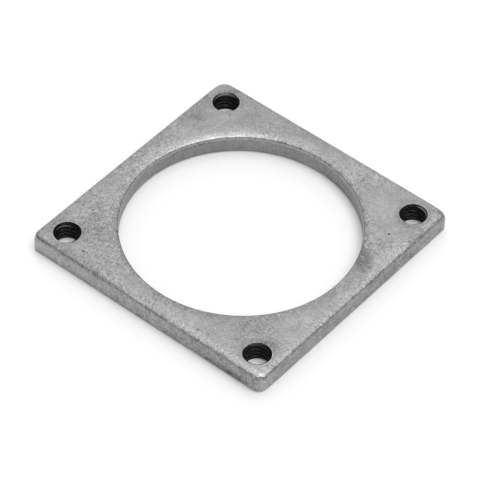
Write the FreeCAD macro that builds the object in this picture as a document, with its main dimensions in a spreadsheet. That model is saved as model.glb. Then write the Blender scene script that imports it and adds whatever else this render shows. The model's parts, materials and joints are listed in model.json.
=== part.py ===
import FreeCAD, Part
import math
import os
import Sketcher

# A square flange plate: a blank with a large bore, rolled upper edges and four tapped corner
# holes. It lies flat on Z = 0 with the bore's axis on Z, and its rolled face is up.

# Driving dimensions: alias, value in millimetres or degrees, and what it sets.
dimensions = [
    ("boreDiameter", 50.0, "central bore"),
    ("rimWidth", 5.0, "stock between the bore and each side, at its narrowest"),
    ("plateThickness", 4.5, "from the underside to the flat top"),
    ("cornerRadius", 2.0, "upright corners, seen from above"),
    ("holeInset", 5.0, "from each side to the axis of a tapped hole"),
    ("tapDrillDiameter", 5.0, "wall of a hole drilled for an M6 thread"),
    ("mouthBevel", 0.35, "how far a hole's countersink reaches beyond its wall"),
    ("mouthAngle", 90.0, "full angle of that countersink"),
    ("mouthLipRadius", 0.15, "worn lip round that countersink"),
    ("edgeRollWidth", 1.8, "how far the outer edge's roll reaches inwards"),
    ("edgeRollRadius", 7.0, "gentle part of that roll"),
    ("edgeNoseRadius", 0.5, "tight part, where the roll meets the side"),
    ("boreRollWidth", 1.6, "how far the bore's roll reaches outwards"),
    ("boreRollRadius", 5.0, "gentle part of that roll"),
    ("boreNoseRadius", 0.35, "tight part, where the roll meets the bore's wall"),
    ("undersideRadius", 0.3, "every edge of the underside"),
]
cornerCount = 4

# A roll or a fillet takes no more than these shares of a corner's radius, of the land beside a
# hole's mouth, and of a wall that it shares with another.
cornerShare = 0.95
landShare = 0.9
wallShare = 0.45

cutMargin = 1.0  # how far a cutting profile stands clear of the stock that it trims
lengthTolerance = 1e-6
quarterTurn = math.pi / 2
wholeTurn = 360.0

# Point numbers of sketched geometry, and the sketch's own X axis with its origin.
startPoint, endPoint, centrePoint = 1, 2, 3
sketchAxis = -1
sketchOrigin = (sketchAxis, startPoint)

doc = FreeCAD.newDocument("MountingPlate")
sheet = doc.addObject("Spreadsheet::Sheet", "Dimensions")
for row, (alias, size, purpose) in enumerate(dimensions, start=1):
    sheet.set(f"A{row}", alias)
    sheet.set(f"B{row}", str(size))
    sheet.set(f"C{row}", purpose)
    sheet.setAlias(f"B{row}", alias)
doc.recompute()

body = doc.addObject("PartDesign::Body", "mounting_plate")
body.Label = "mounting_plate"

# Sizes that follow from the driving ones.
boreRadius = "Dimensions.boreDiameter / 2"
halfSide = f"({boreRadius} + Dimensions.rimWidth)"
halfSpacing = f"({halfSide} - Dimensions.holeInset)"
holeRadius = "Dimensions.tapDrillDiameter / 2"
mouthRadius = f"({holeRadius} + Dimensions.mouthBevel)"
lipRadius = f"min(Dimensions.mouthLipRadius; {wallShare} * Dimensions.mouthBevel)"
mouthLand = f"(Dimensions.holeInset - {mouthRadius} - {lipRadius})"
edgeReach = (f"min(Dimensions.edgeRollWidth; {cornerShare} * Dimensions.cornerRadius; "
             f"{landShare} * {mouthLand}; {wallShare} * Dimensions.rimWidth)")
boreReach = f"min(Dimensions.boreRollWidth; {wallShare} * Dimensions.rimWidth)"
undersideRadius = f"min(Dimensions.undersideRadius; {wallShare} * Dimensions.plateThickness)"


def valueOf(expression):
    return float(sheet.evalExpression(expression))


def originFeature(role):
    return next(item for item in body.Origin.OriginFeatures if item.Role == role)


def newSketch(name, role):
    sketch = body.newObject("Sketcher::SketchObject", name)
    sketch.AttachmentSupport = (originFeature(role), [""])
    sketch.MapMode = "FlatFace"
    return sketch


def constrain(sketch, *rule):
    return sketch.addConstraint(Sketcher.Constraint(*rule))


def drive(sketch, name, expression, *rule):
    sketch.renameConstraint(constrain(sketch, *rule, valueOf(expression)), name)
    sketch.setExpression(f"Constraints.{name}", expression)


def point(x, y):
    return FreeCAD.Vector(x, y, 0)


def circle(centre, radius):
    return Part.Circle(centre, FreeCAD.Vector(0, 0, 1), radius)


def arc(centre, radius, fromQuarter, toQuarter):
    return Part.ArcOfCircle(circle(centre, radius), fromQuarter * quarterTurn, toQuarter * quarterTurn)


def drawOutline():
    """Rounded square; its path starts and ends halfway along the +X side."""
    sketch = newSketch("outline", "XY_Plane")
    half, radius = valueOf(halfSide), valueOf("Dimensions.cornerRadius")
    inner = half - radius
    runs = [
        (point(half, 0), point(half, inner)),
        (point(inner, half), point(-inner, half)),
        (point(-half, inner), point(-half, -inner)),
        (point(-inner, -half), point(inner, -half)),
        (point(half, -inner), point(half, 0)),
    ]
    centres = [point(inner, inner), point(-inner, inner), point(-inner, -inner), point(inner, -inner)]
    sides = [sketch.addGeometry(Part.LineSegment(*run)) for run in runs]
    corners = [sketch.addGeometry(arc(centre, radius, number, number + 1))
               for number, centre in enumerate(centres)]
    east, north, west, south, eastAgain = sides

    for number, corner in enumerate(corners):
        constrain(sketch, "Tangent", sides[number], endPoint, corner, startPoint)
        constrain(sketch, "Tangent", corner, endPoint, sides[number + 1], startPoint)
    constrain(sketch, "Coincident", eastAgain, endPoint, east, startPoint)
    constrain(sketch, "PointOnObject", east, startPoint, sketchAxis)
    for side in (east, west, eastAgain):
        constrain(sketch, "Vertical", side)
    for side in (north, south):
        constrain(sketch, "Horizontal", side)
    for corner in corners[1:]:
        constrain(sketch, "Equal", corners[0], corner)

    drive(sketch, "radius", "Dimensions.cornerRadius", "Radius", corners[0])
    drive(sketch, "east", halfSide, "DistanceX", *sketchOrigin, east, startPoint)
    drive(sketch, "north", halfSide, "DistanceY", *sketchOrigin, north, startPoint)
    drive(sketch, "west", halfSide, "DistanceX", west, startPoint, *sketchOrigin)
    drive(sketch, "south", halfSide, "DistanceY", south, startPoint, *sketchOrigin)
    return sketch


def drawBore():
    sketch = newSketch("bore_circle", "XY_Plane")
    ring = sketch.addGeometry(circle(point(0, 0), valueOf(boreRadius)))
    constrain(sketch, "Coincident", ring, centrePoint, *sketchOrigin)
    drive(sketch, "radius", boreRadius, "Radius", ring)
    return sketch


def drawHole():
    """The first tapped hole's circle, on the plate's upper face."""
    sketch = newSketch("hole_circle", "XY_Plane")
    sketch.setExpression("AttachmentOffset.Base.z", "Dimensions.plateThickness")
    half = valueOf(halfSpacing)
    ring = sketch.addGeometry(circle(point(half, half), valueOf(holeRadius)))
    drive(sketch, "across", halfSpacing, "DistanceX", *sketchOrigin, ring, centrePoint)
    drive(sketch, "along", halfSpacing, "DistanceY", *sketchOrigin, ring, centrePoint)
    drive(sketch, "radius", holeRadius, "Radius", ring)
    return sketch


def drawRoll(edge, wall, towardsStock, reach):
    """Profile that trims an upper edge: a gentle arc tangent to the flat top, then a tight nose
    tangent to the upright wall. towardsStock is 1 where the stock lies outside that wall, as
    seen from the axis, and -1 where it lies inside."""
    sketch = newSketch(f"{edge}_profile", "XZ_Plane")
    gentleSize, noseSize = f"Dimensions.{edge}RollRadius", f"Dimensions.{edge}NoseRadius"
    gentleRadius, noseRadius = valueOf(gentleSize), valueOf(noseSize)
    wallAt, topAt, width = valueOf(wall), valueOf("Dimensions.plateThickness"), valueOf(reach)
    across = width - noseRadius
    drop = math.sqrt((gentleRadius - noseRadius) ** 2 - across ** 2)
    lean = math.atan2(across, drop) / quarterTurn
    topPoint = point(wallAt + towardsStock * width, topAt)
    gentleCentre = topPoint - point(0, gentleRadius)
    noseCentre = gentleCentre + point(-towardsStock * across, drop)

    if towardsStock > 0:
        gentle = sketch.addGeometry(arc(gentleCentre, gentleRadius, 1, 1 + lean))
        nose = sketch.addGeometry(arc(noseCentre, noseRadius, 1 + lean, 2))
        atTop, atWall = (gentle, startPoint), (nose, endPoint)
        joint = (gentle, endPoint, nose, startPoint)
    else:
        gentle = sketch.addGeometry(arc(gentleCentre, gentleRadius, 1 - lean, 1))
        nose = sketch.addGeometry(arc(noseCentre, noseRadius, 0, 1 - lean))
        atTop, atWall = (gentle, endPoint), (nose, startPoint)
        joint = (gentle, startPoint, nose, endPoint)
    wallPoint = noseCentre - point(towardsStock * noseRadius, 0)
    clear = wallPoint - point(towardsStock * cutMargin, 0)
    above = point(clear.x, topAt + cutMargin)
    over = point(topPoint.x, above.y)
    shelf = sketch.addGeometry(Part.LineSegment(wallPoint, clear))
    back = sketch.addGeometry(Part.LineSegment(clear, above))
    lid = sketch.addGeometry(Part.LineSegment(above, over))
    front = sketch.addGeometry(Part.LineSegment(over, topPoint))

    constrain(sketch, "Tangent", *joint)
    constrain(sketch, "Coincident", *atWall, shelf, startPoint)
    for line, following in ((shelf, back), (back, lid), (lid, front)):
        constrain(sketch, "Coincident", line, endPoint, following, startPoint)
    constrain(sketch, "Coincident", front, endPoint, *atTop)
    constrain(sketch, "Vertical", *atTop, gentle, centrePoint)
    constrain(sketch, "Horizontal", *atWall, nose, centrePoint)
    for line in (shelf, lid):
        constrain(sketch, "Horizontal", line)
    for line in (back, front):
        constrain(sketch, "Vertical", line)

    # A horizontal distance is given from its left point to its right one.
    span, clearance = (atWall, atTop), ((shelf, endPoint), (shelf, startPoint))
    if towardsStock < 0:
        span, clearance = span[::-1], clearance[::-1]
    constrain(sketch, "DistanceX", *clearance[0], *clearance[1], cutMargin)
    constrain(sketch, "DistanceY", *atTop, front, startPoint, cutMargin)
    drive(sketch, "width", reach, "DistanceX", *span[0], *span[1])
    drive(sketch, "wall", wall, "DistanceX", *sketchOrigin, *atWall)
    drive(sketch, "height", "Dimensions.plateThickness", "DistanceY", *sketchOrigin, *atTop)
    drive(sketch, "gentle", gentleSize, "Radius", gentle)
    drive(sketch, "nose", noseSize, "Radius", nose)
    return sketch


def isLevel(edge, height):
    box = edge.BoundBox
    return abs(box.ZMin - height) < lengthTolerance and abs(box.ZMax - height) < lengthTolerance


def onUnderside(edge):
    return isLevel(edge, 0)


def onMouth(edge):
    """True for the rim that a countersink leaves in the flat upper face."""
    return (isLevel(edge, valueOf("Dimensions.plateThickness")) and hasattr(edge.Curve, "Radius")
            and abs(edge.Curve.Radius - valueOf(mouthRadius)) < lengthTolerance)


def addFillet(name, base, wanted, radius):
    doc.recompute()
    fillet = body.newObject("PartDesign::Fillet", name)
    fillet.Base = (base, [f"Edge{number}" for number, edge in enumerate(base.Shape.Edges, start=1)
                          if wanted(edge)])
    fillet.setExpression("Radius", radius)
    body.Tip = fillet
    doc.recompute()
    return fillet


outline = drawOutline()
blank = body.newObject("PartDesign::Pad", "blank")
blank.Profile = outline
blank.setExpression("Length", "Dimensions.plateThickness")

edgeRoll = body.newObject("PartDesign::SubtractivePipe", "edge_roll")
edgeRoll.Profile = drawRoll("edge", halfSide, -1, edgeReach)
edgeRoll.Spine = (outline, [""])

bore = body.newObject("PartDesign::Pocket", "bore")
bore.Profile = drawBore()
bore.Type = "ThroughAll"
bore.Midplane = True

boreRoll = body.newObject("PartDesign::Groove", "bore_roll")
boreRoll.Profile = drawRoll("bore", boreRadius, 1, boreReach)
boreRoll.ReferenceAxis = (originFeature("Z_Axis"), [""])
boreRoll.Angle = wholeTurn
doc.recompute()

hole = body.newObject("PartDesign::Hole", "tapped_hole")
hole.Profile = drawHole()
doc.recompute()
hole.ThreadType = "None"
hole.DepthType = "ThroughAll"
hole.HoleCutType = "Countersink"
hole.HoleCutCustomValues = True
hole.setExpression("Diameter", "Dimensions.tapDrillDiameter")
hole.setExpression("HoleCutDiameter", f"2 * {mouthRadius}")
hole.setExpression("HoleCutCountersinkAngle", "Dimensions.mouthAngle")

cornerHoles = body.newObject("PartDesign::PolarPattern", "corner_holes")
cornerHoles.Originals = [hole]
cornerHoles.Axis = (originFeature("Z_Axis"), [""])
cornerHoles.Angle = wholeTurn
cornerHoles.Occurrences = cornerCount
body.Tip = cornerHoles

mouthLips = addFillet("mouth_lips", cornerHoles, onMouth, lipRadius)
undersideEdges = addFillet("underside_edges", mouthLips, onUnderside, undersideRadius)

failed = [item.Name for item in doc.Objects if {"Invalid", "Error"} & set(item.State)]
if failed:
    raise RuntimeError("objects that failed: " + ", ".join(failed))

steps = [blank, edgeRoll, bore, boreRoll, hole, cornerHoles, mouthLips, undersideEdges]
for before, after in zip(steps, steps[1:]):
    if after.Shape.Volume >= before.Shape.Volume:
        raise RuntimeError(f"{after.Name} took no material away")

plate = body.Shape
if plate.isNull() or not plate.isValid() or len(plate.Solids) != 1:
    raise RuntimeError(f"{body.Label} isn't one valid solid")

os.makedirs("parts", exist_ok=True)
plate.exportStep(f"parts/{body.Label}.step")
box = plate.optimalBoundingBox(False, False)
print(f"{body.Label}: {box.XLength:.2f} x {box.YLength:.2f} x {box.ZLength:.2f} mm, "
      f"{plate.Volume:.1f} mm3, {len(plate.Faces)} faces")
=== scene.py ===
import json
import math

import bmesh
import bpy
from mathutils import Matrix, Vector, noise


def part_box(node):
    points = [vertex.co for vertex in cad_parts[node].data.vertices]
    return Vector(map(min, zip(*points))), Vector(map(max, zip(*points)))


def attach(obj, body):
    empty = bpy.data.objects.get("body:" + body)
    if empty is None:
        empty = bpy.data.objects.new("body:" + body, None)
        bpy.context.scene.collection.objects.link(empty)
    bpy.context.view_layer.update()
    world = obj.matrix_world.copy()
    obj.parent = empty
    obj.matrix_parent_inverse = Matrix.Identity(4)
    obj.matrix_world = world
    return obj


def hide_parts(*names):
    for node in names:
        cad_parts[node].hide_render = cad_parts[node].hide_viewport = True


# A square flange plate of tumbled steel, lying on a white surface, with a large bore and four
# tapped corner holes. One Geometry Nodes tree makes its shape, in millimetres until the last
# step, and wearDown then moves its points as tumbling wears the edges.

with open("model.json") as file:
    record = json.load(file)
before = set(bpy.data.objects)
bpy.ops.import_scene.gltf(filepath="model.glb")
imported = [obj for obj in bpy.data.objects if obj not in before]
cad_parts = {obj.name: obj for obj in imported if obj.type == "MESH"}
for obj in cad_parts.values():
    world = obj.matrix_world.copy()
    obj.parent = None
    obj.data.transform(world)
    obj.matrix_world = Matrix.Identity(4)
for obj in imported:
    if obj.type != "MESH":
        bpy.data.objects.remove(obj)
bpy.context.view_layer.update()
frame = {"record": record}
millimetre = 0.001

lowCorner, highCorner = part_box("mounting_plate")
mounts = {mount["name"]: mount for mount in frame["record"]["mounts"]}
plateSide = (highCorner.x - lowCorner.x) / millimetre
plateThickness = (highCorner.z - lowCorner.z) / millimetre
boreRadius = mounts["bore"]["dims"]["r_mm"]
holeSpacing = mounts["screw_pattern"]["dims"]["spacing_x_mm"]
drillRadius = mounts["screw_pattern"]["dims"]["hole_r_mm"]
print("frame: plate", round(plateSide, 3), "x", round(plateThickness, 3), "mm, bore radius", boreRadius)


# Node trees are written with fields: a field is one output socket, and sums, products and
# comparisons of fields add the math nodes for them.

class Field:
    def __init__(self, tree, socket):
        self.tree, self.socket = tree, socket

    def math(self, operation, *others):
        node = addNode(self.tree, "ShaderNodeMath", operation=operation)
        for place, value in enumerate((self, *others)):
            connect(self.tree, value, node.inputs[place])
        return Field(self.tree, node.outputs[0])

    def __add__(self, other):
        return self.math("ADD", other)

    def __sub__(self, other):
        return self.math("SUBTRACT", other)

    def __mul__(self, other):
        return self.math("MULTIPLY", other)

    def __truediv__(self, other):
        return self.math("DIVIDE", other)

    def __neg__(self):
        return self.math("MULTIPLY", -1.0)

    def __rsub__(self, other):
        return -self + other

    def squared(self):
        return self.math("POWER", 2.0)

    def clamped(self, low, high):
        return self.math("MAXIMUM", low).math("MINIMUM", high)


def connect(tree, value, socket):
    if isinstance(value, Field):
        tree.links.new(value.socket, socket)
    elif isinstance(value, bpy.types.NodeSocket):
        tree.links.new(value, socket)
    else:
        socket.default_value = value


nodeGap = (190, 230)  # across and down in the node editor
nodesInRow = 14
groupRow = 10


def addNode(tree, kind, inputs=None, **settings):
    row, column = divmod(len(tree.nodes), nodesInRow)
    node = tree.nodes.new(kind)
    node.location = (column * nodeGap[0], -row * nodeGap[1])
    for name, value in settings.items():
        setattr(node, name, value)
    for name, value in (inputs or {}).items():
        connect(tree, value, node.inputs[name])
    return node


def addField(tree, kind, inputs=None, output=0, **settings):
    return Field(tree, addNode(tree, kind, inputs, **settings).outputs[output])


def joinAll(tree, parts):
    join = addNode(tree, "GeometryNodeJoinGeometry")
    for part in parts:
        connect(tree, part, join.inputs[0])
    return Field(tree, join.outputs[0])


def vectorOf(tree, x=0.0, y=0.0, z=0.0):
    return addField(tree, "ShaderNodeCombineXYZ", {"X": x, "Y": y, "Z": z})


socketKinds = {
    "number": "NodeSocketFloat", "count": "NodeSocketInt", "geometry": "NodeSocketGeometry",
    "material": "NodeSocketMaterial",
}


def newTree(name, result, **kinds):
    tree = bpy.data.node_groups.new(name, "GeometryNodeTree")
    given = tree.nodes.new("NodeGroupInput")
    for kind, labels in kinds.items():
        for label in labels:
            tree.interface.new_socket(label, in_out="INPUT", socket_type=socketKinds[kind])
    tree.interface.new_socket(result, in_out="OUTPUT", socket_type=socketKinds["geometry"])
    fields = {socket.name: Field(tree, socket) for socket in given.outputs if socket.name}
    return tree, fields


def endTree(tree, result):
    out = addNode(tree, "NodeGroupOutput")
    connect(tree, result, out.inputs[0])
    return tree


def useTree(tree, group, inputs):
    node = tree.nodes.new("GeometryNodeGroup")
    node.node_tree = group
    node.location = (len(tree.nodes) % nodesInRow * nodeGap[0], -nodeGap[1] * groupRow)
    for name, value in inputs.items():
        connect(tree, value, node.inputs[name])
    return Field(tree, node.outputs[0])


def profileArcTree():
    tree, given = newTree("Profile Arc", "Curve", number=(
        "Centre Across", "Centre Up", "Radius", "From Angle", "To Angle"), count=("Steps",))
    line = addField(tree, "GeometryNodeCurvePrimitiveLine")
    dots = addField(tree, "GeometryNodeResampleCurve", {"Curve": line, "Count": given["Steps"] + 1.0})
    share = addField(tree, "GeometryNodeSplineParameter")
    angle = given["From Angle"] + (given["To Angle"] - given["From Angle"]) * share
    across = given["Centre Across"] - given["Radius"] * angle.math("SINE")
    up = given["Centre Up"] + given["Radius"] * angle.math("COSINE")
    placed = addField(tree, "GeometryNodeSetPosition",
                      {"Geometry": dots, "Position": vectorOf(tree, across, up)})
    return endTree(tree, placed)


def profileLineTree():
    tree, given = newTree("Profile Line", "Curve", number=(
        "From Across", "From Up", "To Across", "To Up"), count=("Steps",))
    line = addField(tree, "GeometryNodeCurvePrimitiveLine", {
        "Start": vectorOf(tree, given["From Across"], given["From Up"]),
        "End": vectorOf(tree, given["To Across"], given["To Up"])})
    dots = addField(tree, "GeometryNodeResampleCurve", {"Curve": line, "Count": given["Steps"] + 1.0})
    return endTree(tree, dots)


def sweep(tree, path, profile, towardsStock):
    upright = addField(tree, "GeometryNodeSetCurveNormal", {"Curve": path}, mode="Z_UP")
    turned = addField(tree, "GeometryNodeTransform", {
        "Geometry": profile, "Scale": vectorOf(tree, towardsStock, -1.0, 1.0)})
    return addField(tree, "GeometryNodeCurveToMesh", {"Curve": upright, "Profile Curve": turned})


quarterTurn = math.pi / 2
bandSteps = {"guard": 1, "gentle": 8, "nose": 6, "wall": 12, "underside": 4}


def rolledBandTree(arcGroup, lineGroup):
    tree, given = newTree("Rolled Band", "Mesh", geometry=("Path",), number=(
        "Towards Stock", "Thickness", "Roll Width", "Roll Radius", "Nose Radius", "Underside Radius",
        "Guard Width"))
    top, width, gentle = given["Thickness"], given["Roll Width"], given["Roll Radius"]
    nose, under, guard = given["Nose Radius"], given["Underside Radius"], given["Guard Width"]
    across = width - nose
    drop = ((gentle - nose).squared() - across.squared()).math("SQRT")
    lean = across.math("ARCTAN2", drop)
    noseUp = top - gentle + drop
    parts = [
        useTree(tree, lineGroup, {"From Across": width + guard, "From Up": top,
                                  "To Across": width, "To Up": top, "Steps": bandSteps["guard"]}),
        useTree(tree, arcGroup, {"Centre Across": width, "Centre Up": top - gentle, "Radius": gentle,
                                 "From Angle": 0.0, "To Angle": lean, "Steps": bandSteps["gentle"]}),
        useTree(tree, arcGroup, {"Centre Across": nose, "Centre Up": noseUp, "Radius": nose,
                                 "From Angle": lean, "To Angle": quarterTurn, "Steps": bandSteps["nose"]}),
        useTree(tree, lineGroup, {"From Across": 0.0, "From Up": noseUp,
                                  "To Across": 0.0, "To Up": under, "Steps": bandSteps["wall"]}),
        useTree(tree, arcGroup, {"Centre Across": under, "Centre Up": under, "Radius": under,
                                 "From Angle": quarterTurn, "To Angle": 2 * quarterTurn,
                                 "Steps": bandSteps["underside"]}),
        useTree(tree, lineGroup, {"From Across": under, "From Up": 0.0,
                                  "To Across": under + guard, "To Up": 0.0, "Steps": bandSteps["guard"]}),
    ]
    return endTree(tree, sweep(tree, given["Path"], joinAll(tree, parts), given["Towards Stock"]))


holeSteps = {"land": 1, "lip": 3, "cone": 5, "wall": 72, "underside": 4, "round": 84}
flankAngle = math.radians(30)
rootShare = 16  # half of a groove's flat root, as a part of the pitch
landGuard = 0.01  # keeps the land's outer ring of points round


def tappedHoleTree(arcGroup, lineGroup):
    tree, given = newTree("Tapped Hole", "Mesh", number=(
        "Drill Radius", "Thread Radius", "Thread Pitch", "Thickness", "Mouth Bevel", "Lip Radius",
        "Underside Radius", "Land Radius", "Thread Softness"))
    top, drill, bevel = given["Thickness"], given["Drill Radius"], given["Mouth Bevel"]
    lip, under, land = given["Lip Radius"], given["Underside Radius"], given["Land Radius"]
    lipTurn = quarterTurn / 2
    lipAcross = bevel + lip * math.tan(lipTurn / 2)
    lipSlope = math.sin(lipTurn)
    coneAcross = lipAcross - lip * lipSlope
    coneUp = top - lip + lip * math.cos(lipTurn)
    path = addField(tree, "GeometryNodeCurvePrimitiveCircle",
                    {"Resolution": holeSteps["round"], "Radius": drill})
    parts = [
        useTree(tree, lineGroup, {"From Across": land - drill, "From Up": top,
                                  "To Across": lipAcross, "To Up": top, "Steps": holeSteps["land"]}),
        useTree(tree, arcGroup, {"Centre Across": lipAcross, "Centre Up": top - lip, "Radius": lip,
                                 "From Angle": 0.0, "To Angle": lipTurn, "Steps": holeSteps["lip"]}),
        useTree(tree, lineGroup, {"From Across": coneAcross, "From Up": coneUp,
                                  "To Across": 0.0, "To Up": top - bevel, "Steps": holeSteps["cone"]}),
        useTree(tree, lineGroup, {"From Across": 0.0, "From Up": top - bevel,
                                  "To Across": 0.0, "To Up": under, "Steps": holeSteps["wall"]}),
        useTree(tree, arcGroup, {"Centre Across": under, "Centre Up": under, "Radius": under,
                                 "From Angle": quarterTurn, "To Angle": 2 * quarterTurn,
                                 "Steps": holeSteps["underside"]}),
        useTree(tree, lineGroup, {"From Across": under, "From Up": 0.0,
                                  "To Across": land - drill, "To Up": 0.0, "Steps": holeSteps["land"]}),
    ]
    plain = sweep(tree, path, joinAll(tree, parts), 1.0)

    # The thread is a groove that climbs one pitch a turn, cut wherever it reaches past the wall.
    place = addNode(tree, "ShaderNodeSeparateXYZ",
                    {"Vector": addField(tree, "GeometryNodeInputPosition")})
    x, y, z = (Field(tree, output) for output in place.outputs)
    turn = y.math("ARCTAN2", x) / (4 * quarterTurn)
    pitch, softness = given["Thread Pitch"], given["Thread Softness"]
    fromGroove = ((z / pitch - turn).math("FRACT") - 0.5).math("ABSOLUTE") * pitch
    flank = given["Thread Radius"] - (fromGroove - pitch / rootShare) * (1 / math.tan(flankAngle))
    rooted = flank.math("SMOOTH_MIN", given["Thread Radius"], softness)
    out = (x.squared() + y.squared()).math("SQRT")
    cut = rooted.math("SMOOTH_MAX", out, softness)
    insideLand = out.math("LESS_THAN", land - landGuard)
    stretch = (cut / out - 1.0) * insideLand + 1.0
    carved = addField(tree, "GeometryNodeSetPosition",
                      {"Geometry": plain, "Position": vectorOf(tree, x * stretch, y * stretch, z)})
    return endTree(tree, carved)


pitSteps = {"round": 12, "down": 4}


def pitTree():
    tree, given = newTree("Pit", "Mesh", number=("Size", "Depth"))
    cone = addNode(tree, "GeometryNodeMeshCone", {
        "Vertices": pitSteps["round"], "Side Segments": pitSteps["down"], "Radius Top": given["Size"],
        "Radius Bottom": 0.0, "Depth": 1.0}, fill_type="NONE")
    place = addNode(tree, "ShaderNodeSeparateXYZ",
                    {"Vector": addField(tree, "GeometryNodeInputPosition")})
    x, y = (Field(tree, place.outputs[name]) for name in "XY")
    share = (x.squared() + y.squared()) / given["Size"].squared()
    bowl = (share - 1.0).squared() * -given["Depth"]
    shaped = addField(tree, "GeometryNodeSetPosition", {
        "Geometry": Field(tree, cone.outputs["Mesh"]), "Position": vectorOf(tree, x, y, bowl)})
    return endTree(tree, shaped)


def readMark(tree, name, kind):
    node = addNode(tree, "GeometryNodeInputNamedAttribute", {"Name": name}, data_type=kind)
    return Field(tree, node.outputs["Attribute"])


def fillBetween(tree, shell, height, thickness, isTop):
    place = addNode(tree, "ShaderNodeSeparateXYZ",
                    {"Vector": addField(tree, "GeometryNodeInputPosition")})
    z = Field(tree, place.outputs["Z"])
    faceCount = addField(tree, "GeometryNodeInputMeshEdgeNeighbors")
    openEdge = faceCount.math("COMPARE", 1.0, 0.1)  # an edge with one face only
    level = z.math("GREATER_THAN", thickness / 2) if isTop else z.math("LESS_THAN", thickness / 2)
    rim = addField(tree, "GeometryNodeMeshToCurve", {"Mesh": shell, "Selection": openEdge * level})
    face = addField(tree, "GeometryNodeFillCurve", {"Curve": rim}, mode="TRIANGLES")
    return addField(tree, "GeometryNodeTransform",
                    {"Geometry": face, "Translation": vectorOf(tree, 0.0, 0.0, height)})


weldDistance = 0.001


def plateTree(bandGroup, holeGroup, pitGroup):
    tree, given = newTree("Mounting Plate", "Geometry", geometry=("Marked Points",), number=(
        "Side", "Thickness", "Corner Radius", "Bore Radius", "Edge Roll Width", "Edge Roll Radius",
        "Edge Nose Radius", "Bore Roll Width", "Bore Roll Radius", "Bore Nose Radius",
        "Underside Radius", "Guard Width", "Drill Radius", "Thread Radius", "Thread Pitch",
        "Mouth Bevel", "Lip Radius", "Land Radius", "Thread Softness", "Corner Steps", "Mesh Step"),
        material=("Steel",))
    square = addField(tree, "GeometryNodeCurvePrimitiveQuadrilateral",
                      {"Width": given["Side"], "Height": given["Side"]})
    rounded = addNode(tree, "GeometryNodeFilletCurve", mode="POLY")
    connect(tree, square, rounded.inputs["Curve"])
    connect(tree, given["Corner Steps"], rounded.inputs["Count"])
    connect(tree, given["Corner Radius"], rounded.inputs["Radius"])
    outline = addNode(tree, "GeometryNodeResampleCurve", mode="LENGTH")
    connect(tree, Field(tree, rounded.outputs[0]), outline.inputs["Curve"])
    connect(tree, given["Mesh Step"], outline.inputs["Length"])
    boreSteps = given["Bore Radius"] * (4 * quarterTurn) / given["Mesh Step"]
    borePath = addField(tree, "GeometryNodeCurvePrimitiveCircle",
                        {"Resolution": boreSteps, "Radius": given["Bore Radius"]})
    shared = {name: given[name] for name in ("Thickness", "Underside Radius", "Guard Width")}
    edgeBand = useTree(tree, bandGroup, {
        "Path": Field(tree, outline.outputs[0]), "Towards Stock": -1.0,
        "Roll Width": given["Edge Roll Width"], "Roll Radius": given["Edge Roll Radius"],
        "Nose Radius": given["Edge Nose Radius"], **shared})
    boreBand = useTree(tree, bandGroup, {
        "Path": borePath, "Towards Stock": 1.0,
        "Roll Width": given["Bore Roll Width"], "Roll Radius": given["Bore Roll Radius"],
        "Nose Radius": given["Bore Nose Radius"], **shared})
    hole = useTree(tree, holeGroup, {name: given[name] for name in (
        "Drill Radius", "Thread Radius", "Thread Pitch", "Thickness", "Mouth Bevel", "Lip Radius",
        "Underside Radius", "Land Radius", "Thread Softness")})
    turned = vectorOf(tree, 0.0, 0.0, readMark(tree, "turn", "FLOAT"))
    isPit = readMark(tree, "isPit", "FLOAT")
    holes = addField(tree, "GeometryNodeInstanceOnPoints", {
        "Points": given["Marked Points"], "Instance": hole, "Rotation": turned,
        "Selection": isPit.math("LESS_THAN", 0.5)})
    pit = useTree(tree, pitGroup, {"Size": 1.0, "Depth": 1.0})
    pits = addField(tree, "GeometryNodeInstanceOnPoints", {
        "Points": given["Marked Points"], "Instance": pit, "Rotation": turned,
        "Scale": readMark(tree, "pitScale", "FLOAT_VECTOR"), "Selection": isPit.math("GREATER_THAN", 0.5)})
    realMarks = addField(tree, "GeometryNodeRealizeInstances", {"Geometry": joinAll(tree, [holes, pits])})
    bands = addField(tree, "GeometryNodeMergeByDistance", {
        "Geometry": joinAll(tree, [edgeBand, boreBand, realMarks]), "Distance": weldDistance})
    upper = fillBetween(tree, bands, given["Thickness"], given["Thickness"], True)
    lower = fillBetween(tree, bands, 0.0, given["Thickness"], False)
    rolled = addField(tree, "GeometryNodeSetShadeSmooth", {"Geometry": bands, "Shade Smooth": True})
    flat = addField(tree, "GeometryNodeSetShadeSmooth",
                    {"Geometry": joinAll(tree, [upper, lower]), "Shade Smooth": False})
    closed = addField(tree, "GeometryNodeMergeByDistance", {
        "Geometry": joinAll(tree, [rolled, flat]), "Distance": weldDistance})
    metres = addField(tree, "GeometryNodeTransform", {
        "Geometry": closed, "Scale": vectorOf(tree, millimetre, millimetre, millimetre)})
    real = addField(tree, "GeometryNodeRealizeInstances", {"Geometry": metres})
    painted = addField(tree, "GeometryNodeSetMaterial", {"Geometry": real, "Material": given["Steel"]})
    return endTree(tree, painted)


# What a user would change of the plate's shape, in millimetres.
plateShape = {
    "Side": plateSide, "Thickness": plateThickness, "Bore Radius": boreRadius,
    "Drill Radius": drillRadius, "Corner Radius": 2.0,
    "Edge Roll Width": 1.8, "Edge Roll Radius": 7.0, "Edge Nose Radius": 0.5,
    "Bore Roll Width": 1.6, "Bore Roll Radius": 5.0, "Bore Nose Radius": 0.35,
    "Underside Radius": 0.3, "Guard Width": 0.04,
    "Thread Radius": 3.0, "Thread Pitch": 1.0, "Mouth Bevel": 0.35, "Lip Radius": 0.15,
    "Land Radius": 3.08, "Thread Softness": 0.06, "Corner Steps": 24, "Mesh Step": 0.25,
}
# Where each thread's groove starts, in degrees about its hole, by the hole's signs of X and Y.
threadStarts = {(1, 1): 218.6, (-1, 1): 128.7, (-1, -1): 334.0, (1, -1): 225.0}
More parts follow.
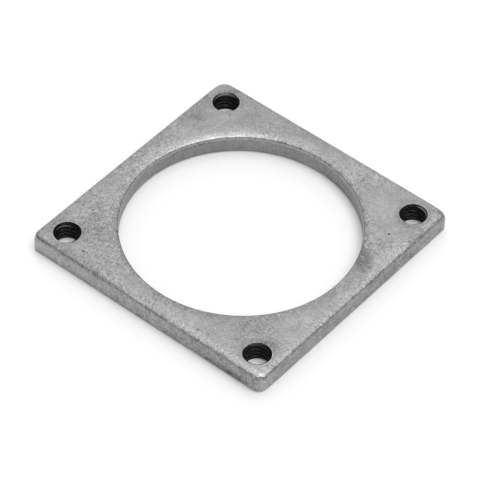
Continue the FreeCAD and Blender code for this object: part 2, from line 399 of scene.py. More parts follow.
# Pits of the upper face, in millimetres and degrees.
pits = [
    {"at": (-19.1, -26.8), "size": 0.21, "stretch": 1.3, "turn": 20, "depth": 0.16},
    {"at": (24.6, 17.3), "size": 0.21, "stretch": 1.1, "turn": 70, "depth": 0.16},
    {"at": (-21.9, 22.6), "size": 0.16, "stretch": 1.4, "turn": 110, "depth": 0.05},
    {"at": (12.1, -27.8), "size": 0.17, "stretch": 1.2, "turn": 0, "depth": 0.12},
    {"at": (14.4, -27.4), "size": 0.14, "stretch": 1.5, "turn": 40, "depth": 0.08},
    {"at": (-14.6, -26.2), "size": 0.13, "stretch": 1.2, "turn": 150, "depth": 0.07},
]


def markedPoints():
    half = holeSpacing / 2
    points = [(sx * half, sy * half, 0.0) for sx, sy in threadStarts]
    turns = list(threadStarts.values())
    scales = [(1.0, 1.0, 1.0)] * len(threadStarts)
    for pit in pits:
        points.append((*pit["at"], plateThickness))
        turns.append(pit["turn"])
        scales.append((pit["size"] * pit["stretch"], pit["size"], pit["depth"]))
    seed = bpy.data.meshes.new("markedPoints")
    seed.from_pydata(points, [], [])
    turn = seed.attributes.new("turn", "FLOAT", "POINT")
    isPit = seed.attributes.new("isPit", "FLOAT", "POINT")
    pitScale = seed.attributes.new("pitScale", "FLOAT_VECTOR", "POINT")
    for number in range(len(points)):
        turn.data[number].value = math.radians(turns[number])
        isPit.data[number].value = float(number >= len(threadStarts))
        pitScale.data[number].vector = scales[number]
    return seed


def makePlate(steel):
    plate = bpy.data.objects.new("tumbledPlate", markedPoints())
    bpy.context.scene.collection.objects.link(plate)
    arcGroup, lineGroup = profileArcTree(), profileLineTree()
    tree = plateTree(rolledBandTree(arcGroup, lineGroup), tappedHoleTree(arcGroup, lineGroup), pitTree())
    modifier = plate.modifiers.new("Mounting Plate", "NODES")
    modifier.node_group = tree
    values = {**plateShape, "Steel": steel}
    for item in tree.interface.items_tree:
        if item.in_out == "INPUT" and item.name in values:
            modifier[item.identifier] = values[item.name]
    graph = bpy.context.evaluated_depsgraph_get()
    mesh = bpy.data.meshes.new_from_object(plate.evaluated_get(graph), depsgraph=graph)
    plate.modifiers.clear()
    plate.data = mesh
    wearDown(mesh)
    return plate


# What the tumbling has worn off the edges, in millimetres: long waves, small dents, and the
# radius of each upright corner above and below, by its signs of X and Y. The lower radius goes
# over into the upper one in the millimetre above cornerFrom.
edgeWear = {
    "waveDepth": 0.012, "waveSize": 1.5, "dentDepth": 0.015, "dentSize": 0.5, "flatGuard": 0.12,
    "bandWidth": 1.9, "cornerFrom": 3.0, "cornerPasses": 2,
    "cornerRadii": {(1, 1): (1.7, 1.0), (-1, 1): (2.3, 2.3), (-1, -1): (1.6, 0.9), (1, -1): (2.0, 2.0)},
}
dentShift = Vector((40.0, 0.0, 0.0))  # so that the dents don't follow the waves
# Stretches where an edge is worn more or less than elsewhere: a line seen from above, how far it
# reaches, and what it adds to the nose, to the underside's radius or to the roll's drop.
rounderEdges = [
    {"start": (-24, -30), "end": (-8, -30), "reach": 6.0, "nose": 0.3, "drop": 0.14},
    {"start": (2, -30), "end": (26, -30), "reach": 5.0, "nose": -0.05, "drop": 0.2},
    {"start": (13, -30), "end": (29, -30), "reach": 6.0, "underside": 0.4},
    {"start": (-30, -30), "end": (30, -30), "reach": 3.0, "drop": 0.05},
    {"start": (30, -30), "end": (30, 30), "reach": 3.0, "nose": 0.18, "drop": 0.07},
    {"start": (30, 21), "end": (30, 25), "reach": 5.0, "nose": -0.05, "drop": 0.2},
    {"start": (30, 30), "end": (30, 30), "reach": 5.0, "nose": 0.2, "drop": 0.1},
    {"start": (30, -30), "end": (30, -30), "reach": 4.5, "underside": 0.2, "drop": 0.2},
    {"start": (-30, 30), "end": (-30, 30), "reach": 5.0, "nose": 0.2, "underside": 0.1, "drop": 0.18},
    {"start": (-30, -30), "end": (-30, -30), "reach": 6.0, "nose": -0.15, "drop": -0.05},
    {"start": (-30, -30), "end": (-30, 30), "reach": 3.0, "drop": -0.07},
    {"start": (15.6, -19.5), "end": (15.6, -19.5), "reach": 18.0, "drop": -0.1},
    {"start": (-15.6, 19.5), "end": (-15.6, 19.5), "reach": 20.0, "nose": 0.15, "drop": 0.1},
]
# Mouths whose first turn has run out, so that a plain cone shows: middle and lowest height.
wornMouths = [{"at": (-25.0, 25.0), "from": 3.5}, {"at": (25.0, 25.0), "from": 3.8}]
# That cone: its radius at the upper face, where it ends, its blend below and a guard at the axis.
wornCone = {"radius": 2.92, "top": 4.38, "blend": 0.2, "axisGuard": 0.1}
boreUnderside = 0.3  # what tumbling adds to the underside's radius all round the bore
# Nicks and scratches of the edges: a line from start to end, its half width and its depth.
nicks = [
    {"start": (29.0, -29.5, 4.0), "end": (29.5, -29.0, 4.05), "width": 0.45, "depth": 0.09},
    {"start": (30.0, 25.7, 0.7), "end": (30.0, 25.9, 0.5), "width": 0.35, "depth": 0.14},
    {"start": (30.0, -20.3, 2.6), "end": (30.0, -20.2, 2.6), "width": 0.30, "depth": 0.12},
    {"start": (30.0, -21.3, 1.4), "end": (30.0, -21.2, 1.5), "width": 0.35, "depth": 0.12},
    {"start": (-2.5, -30.0, 1.6), "end": (-2.4, -30.0, 1.6), "width": 0.30, "depth": 0.10},
    {"start": (-10.6, 22.6, 3.7), "end": (-10.6, 22.6, 4.1), "width": 0.30, "depth": 0.10},
]


def lineDistance(point, start, end):
    along = end - start
    share = max(0.0, min(1.0, (point - start).dot(along) / max(along.length_squared, 1e-9)))
    return (point - start - along * share).length


def insideOutline(point, radius):
    # How deep a point lies inside the plate's outline with that corner radius, and the way out.
    inner = plateSide / 2 - radius
    x, y = abs(point.x) - inner, abs(point.y) - inner
    if x > 0.0 and y > 0.0:
        over = math.hypot(x, y)
        out = Vector((math.copysign(x / over, point.x), math.copysign(y / over, point.y), 0))
        return radius - over, out
    if x > y:
        return radius - x, Vector((math.copysign(1, point.x), 0, 0))
    return radius - y, Vector((0, math.copysign(1, point.y), 0))


def onNose(across, up, radius, centreUp):
    # A point beyond a nose of that radius is pulled back onto it.
    away = Vector((radius - across, up - centreUp))
    if away.x > 0.0 and away.y > 0.0 and away.length > radius:
        away *= radius / away.length
    return radius - away.x, centreUp + away.y


def rounder(across, up, rollWidth, rollRadius, nose, underside):
    beyond = rollWidth - nose
    centreUp = plateThickness - rollRadius + math.sqrt((rollRadius - nose) ** 2 - beyond ** 2)
    tangentAt = rollWidth - rollRadius * beyond / (rollRadius - nose)
    if across < tangentAt:
        across, up = onNose(across, up, nose, centreUp)
    across, down = onNose(across, -up, underside, -underside)
    return across, -down


def plainMouth(point):
    for mouth in wornMouths:
        away = Vector((point.x - mouth["at"][0], point.y - mouth["at"][1], 0.0))
        share = min(1.0, (point.z - mouth["from"]) / wornCone["blend"])
        onMouth = wornCone["axisGuard"] < away.length < plateShape["Land Radius"]
        if share > 0.0 and point.z < wornCone["top"] and onMouth:
            radius = max(drillRadius, wornCone["radius"] - plateThickness + point.z)
            point = point + away * ((radius / away.length - 1.0) * share)
    return point


def wornPoint(point):
    fromBore = math.hypot(point.x, point.y) - boreRadius
    across, out = insideOutline(point, plateShape["Corner Radius"])
    if min(across, fromBore) > edgeWear["bandWidth"]:
        return plainMouth(point)
    nose, underside, drop = 0.0, plateShape["Underside Radius"], 0.0
    seen = Vector((point.x, point.y))
    for place in rounderEdges:
        share = 1.0 - lineDistance(seen, Vector(place["start"]), Vector(place["end"])) / place["reach"]
        if share > 0.0:
            share = share * share * (3.0 - 2.0 * share)
            nose += share * place.get("nose", 0.0)
            underside += share * place.get("underside", 0.0)
            drop += share * place.get("drop", 0.0)
    atBore = fromBore < across
    band = "Bore" if atBore else "Edge"
    if atBore:
        across, out = fromBore, Vector((-point.x, -point.y, 0)).normalized()
        underside += boreUnderside
    width = plateShape[band + " Roll Width"]
    worn, up = rounder(across, point.z, width, plateShape[band + " Roll Radius"],
                       plateShape[band + " Nose Radius"] + nose, underside)
    outer = max(0.0, 1.0 - across / width)
    up -= drop * outer * outer * point.z / plateThickness
    moved = Vector((point.x, point.y, up)) + out * (across - worn)
    if atBore:
        return moved
    above, below = edgeWear["cornerRadii"][(1 if point.x > 0 else -1, 1 if point.y > 0 else -1)]
    corner = below + (above - below) * max(0.0, min(1.0, up - edgeWear["cornerFrom"]))
    for _ in range(edgeWear["cornerPasses"]):
        depth, out = insideOutline(moved, corner)
        moved += out * (depth - worn) * outer
    return moved


def wearDepth(point):
    fade = min(1.0, (plateThickness - point.z) / edgeWear["flatGuard"], point.z / edgeWear["flatGuard"])
    if fade < 0.001 or min(insideOutline(point, plateShape["Corner Radius"])[0],
                           math.hypot(point.x, point.y) - boreRadius) > edgeWear["bandWidth"]:
        return 0.0
    waves = 0.5 + 0.5 * noise.noise(point / edgeWear["waveSize"])
    dents = max(0.0, noise.noise(point / edgeWear["dentSize"] + dentShift))
    depth = (waves * edgeWear["waveDepth"] + dents * edgeWear["dentDepth"]) * fade
    for nick in nicks:
        share = lineDistance(point, Vector(nick["start"]), Vector(nick["end"])) / nick["width"]
        if share < 1.0:
            depth += nick["depth"] * (1.0 - share * share) ** 2
    return depth


def wearDown(mesh):
    work = bmesh.new()
    work.from_mesh(mesh)
    bmesh.ops.recalc_face_normals(work, faces=work.faces)
    for vertex in work.verts:
        vertex.co = wornPoint(vertex.co / millimetre) * millimetre
    work.normal_update()
    moves = [(vertex, vertex.normal * wearDepth(vertex.co / millimetre)) for vertex in work.verts]
    for vertex, move in moves:
        vertex.co -= move * millimetre
    openEdges = sum(1 for edge in work.edges if len(edge.link_faces) != 2)
    triangles = sum(len(face.verts) - 2 for face in work.faces)
    print("plate:", len(work.verts), "points,", triangles, "triangles,", openEdges, "open edges, volume",
          round(work.calc_volume(signed=True) / millimetre ** 3, 1), "mm3")
    work.to_mesh(mesh)
    work.free()


# The finish, with painted shade on the upright sides, on the bore's wall and in the pits, and painted
# sparkle: sizes and heights in millimetres, shades as shares of the grey.
steelLook = {
    "grey": 0.352, "roughness": 0.42, "roughnessSwing": 0.35, "wideRoll": 3.3, "wideRollHeight": 0.09,
    "grainSize": 0.34, "grainShade": 1.00, "grainHeight": 0.06,
    "mottleSize": 0.9, "mottleShade": 0.76, "mottleHeight": 0.07, "mottleSwirl": 0.7,
    "blotchSize": 3.5, "blotchShade": 0.42, "blotchDetail": 3.0,
    "calmSize": 11.0, "calmRange": (-0.10, 0.12), "calmest": 0.60, "roughest": 1.35, "rollWild": 0.08,
    "cloudSize": 15.0, "cloudShade": 0.18,
    "fleckSize": 0.42, "fleckRange": (0.10, 0.22), "fleckShade": 0.45, "fleckEverywhere": 0.15,
    "fleckSide": 0.28, "boreSmooth": 0.5, "rollWidth": 2.1, "rimReach": 1.3,
    "sideShade": -0.10, "sideMottle": 0.3, "pitShade": 4.7, "pitReach": 1.4,
    "smudgeCalm": 0.55, "smudgeRagged": 0.3, "raggedBlotch": 1.2, "raggedMottle": 0.8,
    "boreShade": -0.26, "toolMarkShade": 1.0, "toolMarkWidth": 0.30, "toolMarkLength": 9.0,
    "toolMarkFrom": 2.25, "toolMarkTo": 1.55, "scrapeShade": 0.28, "scrapeWidth": 0.4, "scrapeLength": 3.5,
    "notchShade": 0.8, "notchMiddle": 2.70, "notchReach": 0.24, "notchGaps": (0.02, 0.15),
    "greyLimits": (0.01, 1.0), "roughnessLimits": (0.2, 0.8),
}
# Where the finish changes, from its first trace to its full strength: how far in from an upright
# wall, and how far below the upper face for the rest.
finishZones = {
    "wall": (0.4, 0.15), "upper": (1.0, 0.4), "side": (0.4, 0.8), "boreWall": (0.65, 1.15),
    "notches": (1.6, 1.1),
}
noiseSeeds = {
    "grain": 1.0, "mottle": 2.0, "blotch": 3.0, "cloud": 4.0, "fleck": 5.0, "toolMarks": 6.0,
    "scrapes": 7.0, "calm": 8.0,
}
# The dark threads, a darker ring round each mouth and a painted highlight on the lip.
holeLook = {
    "mouthRadius": 2.92, "mouthBlur": 0.04, "dark": 0.018, "crest": 0.050, "crestRadius": 2.72,
    "rootRadius": 2.56, "ringRadius": 4.3, "ringShade": -0.12, "lipRadius": 3.03, "lipWidth": 0.13,
    "lipShade": 0.38, "lipDull": 2.0, "ringMottle": 2.5, "mouthGrain": 0.12, "crestGrain": 0.2,
    "glintRange": (-0.05, 0.15), "turnBlur": 0.08, "turnRagged": 0.15,
}
# Where the lip gets painted shade instead of its painted highlight.
shadedLip = {"at": (-26.9, 27.4, 4.5), "reach": (2.4, 3.4, 1.0), "turn": 129}
# Worn places inside the holes: middle, half sizes and outer radius in millimetres, turn in degrees.
wornTurns = [
    {"at": (-27.0, 26.6, 4.3), "reach": (3.3, 3.3, 0.50), "turn": 0, "within": 2.78, "shade": 0.135},
    {"at": (26.1, 27.4, 4.2), "reach": (1.3, 3.0, 0.36), "turn": 65, "within": 2.74, "shade": 0.30},
    {"at": (-26.8, -23.4, 3.9), "reach": (2.4, 2.4, 0.45), "turn": 0, "within": 2.64, "shade": 0.12},
]
# The dark smudge, which also calms the grain under it.
darkSmudge = {"at": (25.2, 8.3, 4.5), "reach": (2.2, 4.7, 4.0), "turn": 36, "shade": -0.38, "ragged": 0.06}
# Smudges, marks and patches of tone, together with painted highlights and painted shade on the edges' noses,
# rolls, creases and upright sides, listed the same way.
smudgesAndPaintedLight = [
    darkSmudge,
    {"at": (-26.8, 17.6, 4.5), "reach": (2.2, 0.9, 4.0), "turn": 20, "shade": -0.16, "ragged": 1.0},
    # Painted highlight on the near corner.
    {"at": (29.0, -29.0, 4.5), "reach": (2.6, 4.2, 1.2), "turn": 45, "shade": 0.08, "ragged": 1.0},
    # Darker towards the foot of the side at minus Y, towards plus X.
    {"at": (20.5, -30.0, 0.7), "reach": (9.5, 2.0, 1.4), "turn": 0, "shade": -0.31, "ragged": 0.15},
    # Painted light on the side at minus Y and painted shade on the side at plus X.
    {"at": (-5.0, -30.0, 2.7), "reach": (15.0, 0.8, 2.3), "turn": 0, "shade": 0.09, "ragged": 0.4},
    {"at": (30.0, 6.0, 2.2), "reach": (0.8, 22.0, 3.0), "turn": 0, "shade": -0.08, "ragged": 0.3},
    # Painted highlight in a stretch of the crease at minus Y, along the noses of the edges at minus Y and
    # plus X, and on the roll at plus X.
    {"at": (-13.5, -29.9, 4.2), "reach": (2.8, 0.9, 0.8), "turn": 0, "shade": 0.17, "ragged": 0.1},
    {"at": (0.0, -29.6, 4.5), "reach": (34.0, 0.6, 0.4), "turn": 0, "shade": 0.17, "ragged": 0.1},
    {"at": (29.9, -1.0, 4.5), "reach": (0.5, 28.0, 0.4), "turn": 0, "shade": 0.20, "ragged": 0.1},
    {"at": (30.0, 20.3, 4.3), "reach": (0.7, 3.4, 0.6), "turn": 0, "shade": 0.15, "ragged": 0.1},
    # Painted shade along the nose at minus X and along the crease at plus X.
    {"at": (-30.0, 0.0, 4.3), "reach": (0.5, 34.0, 0.6), "turn": 0, "shade": -0.17, "ragged": 0.2},
    {"at": (30.0, 0.0, 3.95), "reach": (0.5, 34.0, 0.4), "turn": 0, "shade": -0.08, "ragged": 0.1},
    # Painted highlight on the roll next to the near corner.
    {"at": (26.5, -29.2, 4.5), "reach": (6.0, 1.1, 0.5), "turn": 0, "shade": 0.20, "ragged": 0.3},
    # Painted shade in the crease by the corner at minus X and minus Y.
    {"at": (-28.3, -29.8, 4.15), "reach": (3.0, 0.8, 0.50), "turn": 0, "shade": -0.26, "ragged": 0.2},
    # Painted light on the side at minus Y towards minus X, and on the side at plus X by the near corner.
    {"at": (-28.2, -30.0, 2.2), "reach": (1.9, 0.8, 1.5), "turn": 0, "shade": 0.15, "ragged": 0.3},
    {"at": (-21.0, -30.0, 2.2), "reach": (11.0, 1.0, 2.2), "turn": 0, "shade": 0.16, "ragged": 0.6},
    {"at": (30.0, -28.0, 2.0), "reach": (2.0, 3.5, 2.6), "turn": 0, "shade": 0.08, "ragged": 0.6},
    # Darker patches round the holes.
    {"at": (25.0, 25.0, 4.5), "reach": (4.6, 4.6, 1.0), "turn": 0, "shade": -0.10, "ragged": 1.2},
    {"at": (26.8, 21.3, 4.5), "reach": (3.0, 3.4, 1.0), "turn": 0, "shade": -0.15, "ragged": 0.8},
    {"at": (25.6, -23.4, 4.5), "reach": (5.0, 4.2, 1.0), "turn": 38, "shade": -0.12, "ragged": 0.4},
    {"at": (-25.6, 25.0, 4.5), "reach": (4.4, 4.0, 1.0), "turn": 38, "shade": -0.12, "ragged": 0.6},
    # A dark nick in the crease at minus Y.
    {"at": (13.5, -29.8, 4.1), "reach": (1.0, 0.6, 0.3), "turn": 0, "shade": -0.40, "ragged": 0.2},
    # Painted highlight and painted shade in stretches of the edges' rolls.
    {"at": (13.0, 29.2, 4.4), "reach": (18.0, 2.8, 2.0), "turn": 0, "shade": 0.15, "ragged": 0.4},
    {"at": (-29.2, 18.0, 4.4), "reach": (2.6, 7.0, 2.0), "turn": 0, "shade": -0.12, "ragged": 0.4},
    {"at": (-29.2, -26.0, 4.4), "reach": (2.2, 5.0, 1.0), "turn": 0, "shade": -0.13, "ragged": 0.4},
    {"at": (15.0, -29.5, 4.4), "reach": (17.0, 1.5, 0.7), "turn": 0, "shade": 0.16, "ragged": 0.6},
    {"at": (-17.0, -28.4, 4.5), "reach": (13.0, 1.3, 0.5), "turn": 0, "shade": -0.08, "ragged": 0.4},
    {"at": (28.6, 12.0, 4.4), "reach": (2.0, 6.0, 1.0), "turn": 0, "shade": 0.11, "ragged": 0.6},
    # Darker and lighter patches of the upper face.
    {"at": (21.6, -21.4, 4.5), "reach": (5.0, 4.6, 1.0), "turn": 0, "shade": -0.15, "ragged": 0.5},
    {"at": (-21.8, -21.3, 4.5), "reach": (5.2, 4.4, 1.0), "turn": 0, "shade": -0.16, "ragged": 0.5},
    {"at": (-14.5, 25.0, 4.5), "reach": (8.5, 3.8, 1.0), "turn": 0, "shade": -0.12, "ragged": 0.5},
    {"at": (19.0, 21.5, 4.5), "reach": (5.0, 4.4, 1.0), "turn": 0, "shade": 0.12, "ragged": 0.5},
    {"at": (25.0, -12.0, 4.5), "reach": (3.4, 4.0, 1.0), "turn": 0, "shade": 0.11, "ragged": 0.4},
]
# Painted highlight on the far stretch of the bore's rim and painted shade on the near stretch and two
# others: middle and reach in degrees.
rimLightAndShade = [
    {"angle": 305, "reach": 42, "shade": -0.13}, {"angle": 144, "reach": 34, "shade": 0.11},
    {"angle": 203, "reach": 20, "shade": -0.09}, {"angle": 346, "reach": 15, "shade": -0.09},
]


def ramp(field, start, end):
    node = addNode(field.tree, "ShaderNodeMapRange",
                   {"Value": field, "From Min": start, "From Max": end}, interpolation_type="SMOOTHSTEP")
    return Field(field.tree, node.outputs[0])


def speckle(place, size, seed, detail=1.0, swirl=0.0):
    return addField(place.tree, "ShaderNodeTexNoise", {
        "Vector": place, "W": seed, "Scale": 1.0 / size, "Detail": detail, "Distortion": swirl},
        noise_dimensions="4D") - 0.5


patchEdge = (1.1, 0.4)  # where a patch starts and is full, as shares of its reach


def patch(place, spot, ragged):
    local = addField(place.tree, "ShaderNodeMapping", {
        "Vector": place, "Location": spot["at"], "Rotation": (0.0, 0.0, math.radians(spot["turn"])),
        "Scale": spot["reach"]}, vector_type="TEXTURE")
    away = addNode(place.tree, "ShaderNodeVectorMath", operation="LENGTH")
    connect(place.tree, local, away.inputs[0])
    return ramp(Field(place.tree, away.outputs["Value"]) + ragged, *patchEdge)


def tumbledSteel():
    material = bpy.data.materials.new("tumbledSteel")
    material.use_nodes = True
    tree = material.node_tree
    shader = tree.nodes["Principled BSDF"]
    look = steelLook
    inMetres = addField(tree, "ShaderNodeTexCoord", output="Object")
    scaled = addNode(tree, "ShaderNodeVectorMath", operation="SCALE")
    connect(tree, inMetres, scaled.inputs[0])
    scaled.inputs["Scale"].default_value = 1.0 / millimetre
    place = Field(tree, scaled.outputs["Vector"])
    parts = addNode(tree, "ShaderNodeSeparateXYZ", {"Vector": place})
    x, y, z = (Field(tree, output) for output in parts.outputs)

    def belowTop(zone):
        start, end = finishZones[zone]
        return ramp(z, plateThickness - start, plateThickness - end)

    # Where on the plate a point lies.
    outward = x.math("ABSOLUTE").math("MAXIMUM", y.math("ABSOLUTE"))
    fromEdge = -outward + plateSide / 2
    fromBore = (x.squared() + y.squared()).math("SQRT") - boreRadius
    roll = ramp(fromEdge.math("MINIMUM", fromBore), look["rollWidth"], look["rollWidth"] / 2)
    upper = belowTop("upper")
    side = ramp(fromEdge, *finishZones["wall"]) * belowTop("side")
    boreWall = ramp(fromBore, *finishZones["wall"]) * belowTop("boreWall")
    holeX = x.math("ABSOLUTE") - holeSpacing / 2
    holeY = y.math("ABSOLUTE") - holeSpacing / 2
    fromHole = (holeX.squared() + holeY.squared()).math("SQRT")

    # The tumbled grain, from fine to broad.
    grain = speckle(place, look["grainSize"], noiseSeeds["grain"])
    mottle = speckle(place, look["mottleSize"], noiseSeeds["mottle"], swirl=look["mottleSwirl"])
    blotch = speckle(place, look["blotchSize"], noiseSeeds["blotch"], look["blotchDetail"])
    cloud = speckle(place, look["cloudSize"], noiseSeeds["cloud"])
    fleck = ramp(speckle(place, look["fleckSize"], noiseSeeds["fleck"]), *look["fleckRange"])
    unrest = speckle(place, look["calmSize"], noiseSeeds["calm"]) + roll * look["rollWild"]
    wild = ramp(unrest, *look["calmRange"]) * (look["roughest"] - look["calmest"]) + look["calmest"]
    shade = (grain * look["grainShade"] + mottle * look["mottleShade"]) * wild
    shade += blotch * look["blotchShade"]
    calmed = patch(place, darkSmudge, blotch * look["smudgeRagged"]) * look["smudgeCalm"]
    shade = shade * (1.0 - boreWall * look["boreSmooth"] - calmed)
    shade += cloud * look["cloudShade"]
    # Painted sparkle: strongest on the rolls of the upper face, weaker on the sides, faint everywhere.
    shade += fleck * (roll * upper * look["fleckShade"] + side * look["fleckSide"] + look["fleckEverywhere"])
    # Painted shade on the upright sides, with their own mottle.
    shade += side * (mottle * look["sideMottle"] + look["sideShade"])

    # Tool marks run round the bore's wall, and scrapes down it.
    angle = y.math("ARCTAN2", x)
    around = angle * boreRadius
    alongMarks = vectorOf(tree, around / look["toolMarkLength"], z / look["toolMarkWidth"])
    toolMarks = speckle(alongMarks, 1.0, noiseSeeds["toolMarks"])
    downScrapes = vectorOf(tree, around / look["scrapeWidth"], z / look["scrapeLength"])
    scrapes = speckle(downScrapes, 1.0, noiseSeeds["scrapes"])
    marked = ramp(angle, look["toolMarkFrom"], look["toolMarkTo"])
    fromNotches = (angle - look["notchMiddle"]).math("ABSOLUTE")
    notches = ramp(fromNotches, look["notchReach"], look["notchReach"] / 2)
    notches = notches * belowTop("notches") * ramp(scrapes, *look["notchGaps"])
    shade -= notches * boreWall * look["notchShade"]
    # Painted shade over the whole bore's wall, with the tool marks and scrapes.
    shade += boreWall * (toolMarks * marked * look["toolMarkShade"] + scrapes * look["scrapeShade"]
                         + look["boreShade"])

    # Painted highlight and painted shade on stretches of the bore's rim.
    atRim = ramp(fromBore, look["rollWidth"] * look["rimReach"], look["rollWidth"] / 2) * upper
    for stretch in rimLightAndShade:
        middle, reach = math.radians(stretch["angle"]), math.radians(stretch["reach"])
        facing = (x * math.cos(middle) + y * math.sin(middle)) / (fromBore + boreRadius)
        shade += ramp(facing, math.cos(reach), math.cos(reach / 3)) * atRim * stretch["shade"]
    ragged = blotch * look["raggedBlotch"] + mottle * look["raggedMottle"]
    # Smudges and patches of tone, and the painted highlights and painted shade listed with them.
    for listedPatch in smudgesAndPaintedLight:
        shade += patch(place, listedPatch, ragged * listedPatch["ragged"]) * listedPatch["shade"]
    # Painted shade in each pit, deeper for a deeper pit.
    for pit in pits:
        reach = (pit["size"] * pit["stretch"] * look["pitReach"], pit["size"] * look["pitReach"], 1.0)
        hollow = {"at": (*pit["at"], plateThickness), "turn": pit["turn"], "reach": reach}
        shade += patch(place, hollow, 0.0) * (-look["pitShade"] * pit["depth"])

    # Round each hole a painted highlight on the lip, painted shade on one far lip, a darker ring, and the
    # dark threads with painted glints on their crests.
    ring = ramp(fromHole, holeLook["ringRadius"], holeLook["mouthRadius"])
    ring = ring * (mottle * holeLook["ringMottle"] + 1.0)
    lip = ramp((fromHole - holeLook["lipRadius"]).math("ABSOLUTE"), holeLook["lipWidth"], 0.0)
    lip = lip * (1.0 - patch(place, shadedLip, 0.0) * holeLook["lipDull"])
    shade += (ring * holeLook["ringShade"] + lip * holeLook["lipShade"]) * upper
    grey = (shade + 1.0) * look["grey"]
    inHole = ramp(fromHole + grain * holeLook["mouthGrain"], holeLook["mouthRadius"] + holeLook["mouthBlur"],
                  holeLook["mouthRadius"] - holeLook["mouthBlur"])
    crest = ramp(fromHole + grain * holeLook["crestGrain"], holeLook["crestRadius"], holeLook["rootRadius"])
    # Painted glints on the thread crests, in patches.
    glint = crest * ramp(mottle, *holeLook["glintRange"]) * (holeLook["crest"] - holeLook["dark"])
    threads = glint + holeLook["dark"]
    for turn in wornTurns:
        inside = ramp(fromHole, turn["within"] + holeLook["turnBlur"], turn["within"] - holeLook["turnBlur"])
        threads += inside * patch(place, turn, ragged * holeLook["turnRagged"]) * turn["shade"]
    painted = grey + (threads - grey) * inHole
    connect(tree, painted.clamped(*look["greyLimits"]), shader.inputs["Base Color"])

    rough = mottle * look["roughnessSwing"] + look["roughness"]
    connect(tree, rough.clamped(*look["roughnessLimits"]), shader.inputs["Roughness"])
    shader.inputs["Metallic"].default_value = 1.0
    settled = ramp(fromEdge.math("MINIMUM", fromBore), look["wideRoll"], look["wideRoll"] / 4)
    height = grain * look["grainHeight"] + mottle * look["mottleHeight"] - settled * look["wideRollHeight"]
    bump = addNode(tree, "ShaderNodeBump", {"Height": height, "Strength": 1.0, "Distance": millimetre})
    connect(tree, bump.outputs["Normal"], shader.inputs["Normal"])
    print("finish: tumbled steel,", len(tree.nodes), "nodes")
    return material


plate = makePlate(tumbledSteel())
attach(plate, "root")
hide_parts("mounting_plate")

# Where the photo was taken from. Angles in degrees, the distance in metres from the middle of
# the upper face, lens and sensor in millimetres, and the picture's centre in its own pixels.
photoView = {
    "azimuth": 38.666, "elevation": 46.349, "roll": 1.6305, "distance": 0.63266, "lens": 233.37,
    "sensor": 36.0, "pixels": 480, "centreAcross": 241.15, "centreDown": 223.165,
}


def makeCamera():
    lens = bpy.data.cameras.new("photoCamera")
    lens.lens, lens.sensor_width = photoView["lens"], photoView["sensor"]
    camera = bpy.data.objects.new("photoCamera", lens)
    bpy.context.scene.collection.objects.link(camera)
    azimuth, elevation = math.radians(photoView["azimuth"]), math.radians(photoView["elevation"])
    back = Vector((math.sin(azimuth) * math.cos(elevation), -math.cos(azimuth) * math.cos(elevation),
                   math.sin(elevation)))
    right = Vector((math.cos(azimuth), math.sin(azimuth), 0.0))
    up = back.cross(right)
    upright = Matrix((right, up, back)).transposed().to_4x4()
    focal = photoView["lens"] / photoView["sensor"] * photoView["pixels"]
    across = math.atan((photoView["centreAcross"] - photoView["pixels"] / 2) / focal)
    down = math.atan((photoView["centreDown"] - photoView["pixels"] / 2) / focal)
    turned = (upright @ Matrix.Rotation(math.radians(photoView["roll"]), 4, "Z")
              @ Matrix.Rotation(across, 4, "Y") @ Matrix.Rotation(down, 4, "X"))
    topCentre = Vector((0.0, 0.0, plateThickness * millimetre))
    camera.matrix_world = Matrix.Translation(topCentre + back * photoView["distance"]) @ turned
    bpy.context.scene.camera = camera
    print("camera: azimuth", photoView["azimuth"], "elevation", photoView["elevation"])


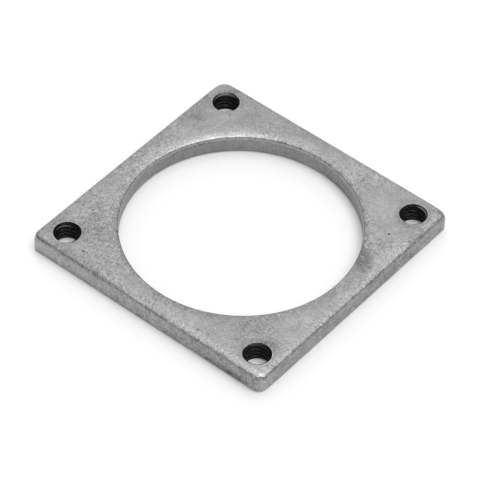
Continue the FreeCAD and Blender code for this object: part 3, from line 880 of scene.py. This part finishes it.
# The white table and the studio: reach and sink in metres, angles in degrees, azimuth from +X.
studio = {
    "reach": 3.0, "sink": 0.00001, "paper": 0.9, "paperGlow": 0.09, "sky": 0.46,
    "lamps": [
        {"name": "softKey", "azimuth": 0, "elevation": 70, "width": 40, "energy": 1.30},
        {"name": "softTop", "azimuth": 120, "elevation": 70, "width": 40, "energy": 0.57},
        {"name": "softBack", "azimuth": 135, "elevation": 25, "width": 40, "energy": 0.26},
    ],
}


def whitePaper():
    paper = bpy.data.materials.new("whitePaper")
    paper.use_nodes = True
    tree = paper.node_tree
    shader = tree.nodes["Principled BSDF"]
    shader.inputs["Base Color"].default_value = (studio["paper"], studio["paper"], studio["paper"], 1.0)
    rays = addNode(tree, "ShaderNodeLightPath")
    seen = Field(tree, rays.outputs["Is Camera Ray"])
    for name in ("Is Glossy Ray", "Is Transmission Ray"):
        seen = seen.math("MAXIMUM", Field(tree, rays.outputs[name]))
    shader.inputs["Emission Color"].default_value = (1.0, 1.0, 1.0, 1.0)
    connect(tree, seen * studio["paperGlow"], shader.inputs["Emission Strength"])
    return paper


def makeStage():
    reach, sink = studio["reach"], studio["sink"]
    floorMesh = bpy.data.meshes.new("floor")
    floorMesh.from_pydata([(-reach, -reach, -sink), (reach, -reach, -sink), (reach, reach, -sink),
                           (-reach, reach, -sink)], [], [(0, 1, 2, 3)])
    floorMesh.materials.append(whitePaper())
    floor = bpy.data.objects.new("floor", floorMesh)
    bpy.context.scene.collection.objects.link(floor)
    world = bpy.data.worlds.new("studio")
    bpy.context.scene.world = world
    world.use_nodes = True
    world.node_tree.nodes["Background"].inputs["Color"].default_value = (1, 1, 1, 1)
    world.node_tree.nodes["Background"].inputs["Strength"].default_value = studio["sky"]
    for lamp in studio["lamps"]:
        light = bpy.data.lights.new(lamp["name"], "SUN")
        light.energy, light.angle = lamp["energy"], math.radians(lamp["width"])
        holder = bpy.data.objects.new(lamp["name"], light)
        bpy.context.scene.collection.objects.link(holder)
        azimuth, elevation = math.radians(lamp["azimuth"]), math.radians(lamp["elevation"])
        towards = Vector((math.cos(azimuth) * math.cos(elevation), math.sin(azimuth) * math.cos(elevation),
                          math.sin(elevation)))
        holder.rotation_euler = towards.to_track_quat("Z", "Y").to_euler()
    print("stage: white table, sky and", len(studio["lamps"]), "soft lamps")


makeCamera()
makeStage()
bpy.context.scene.view_settings.view_transform = "Standard"
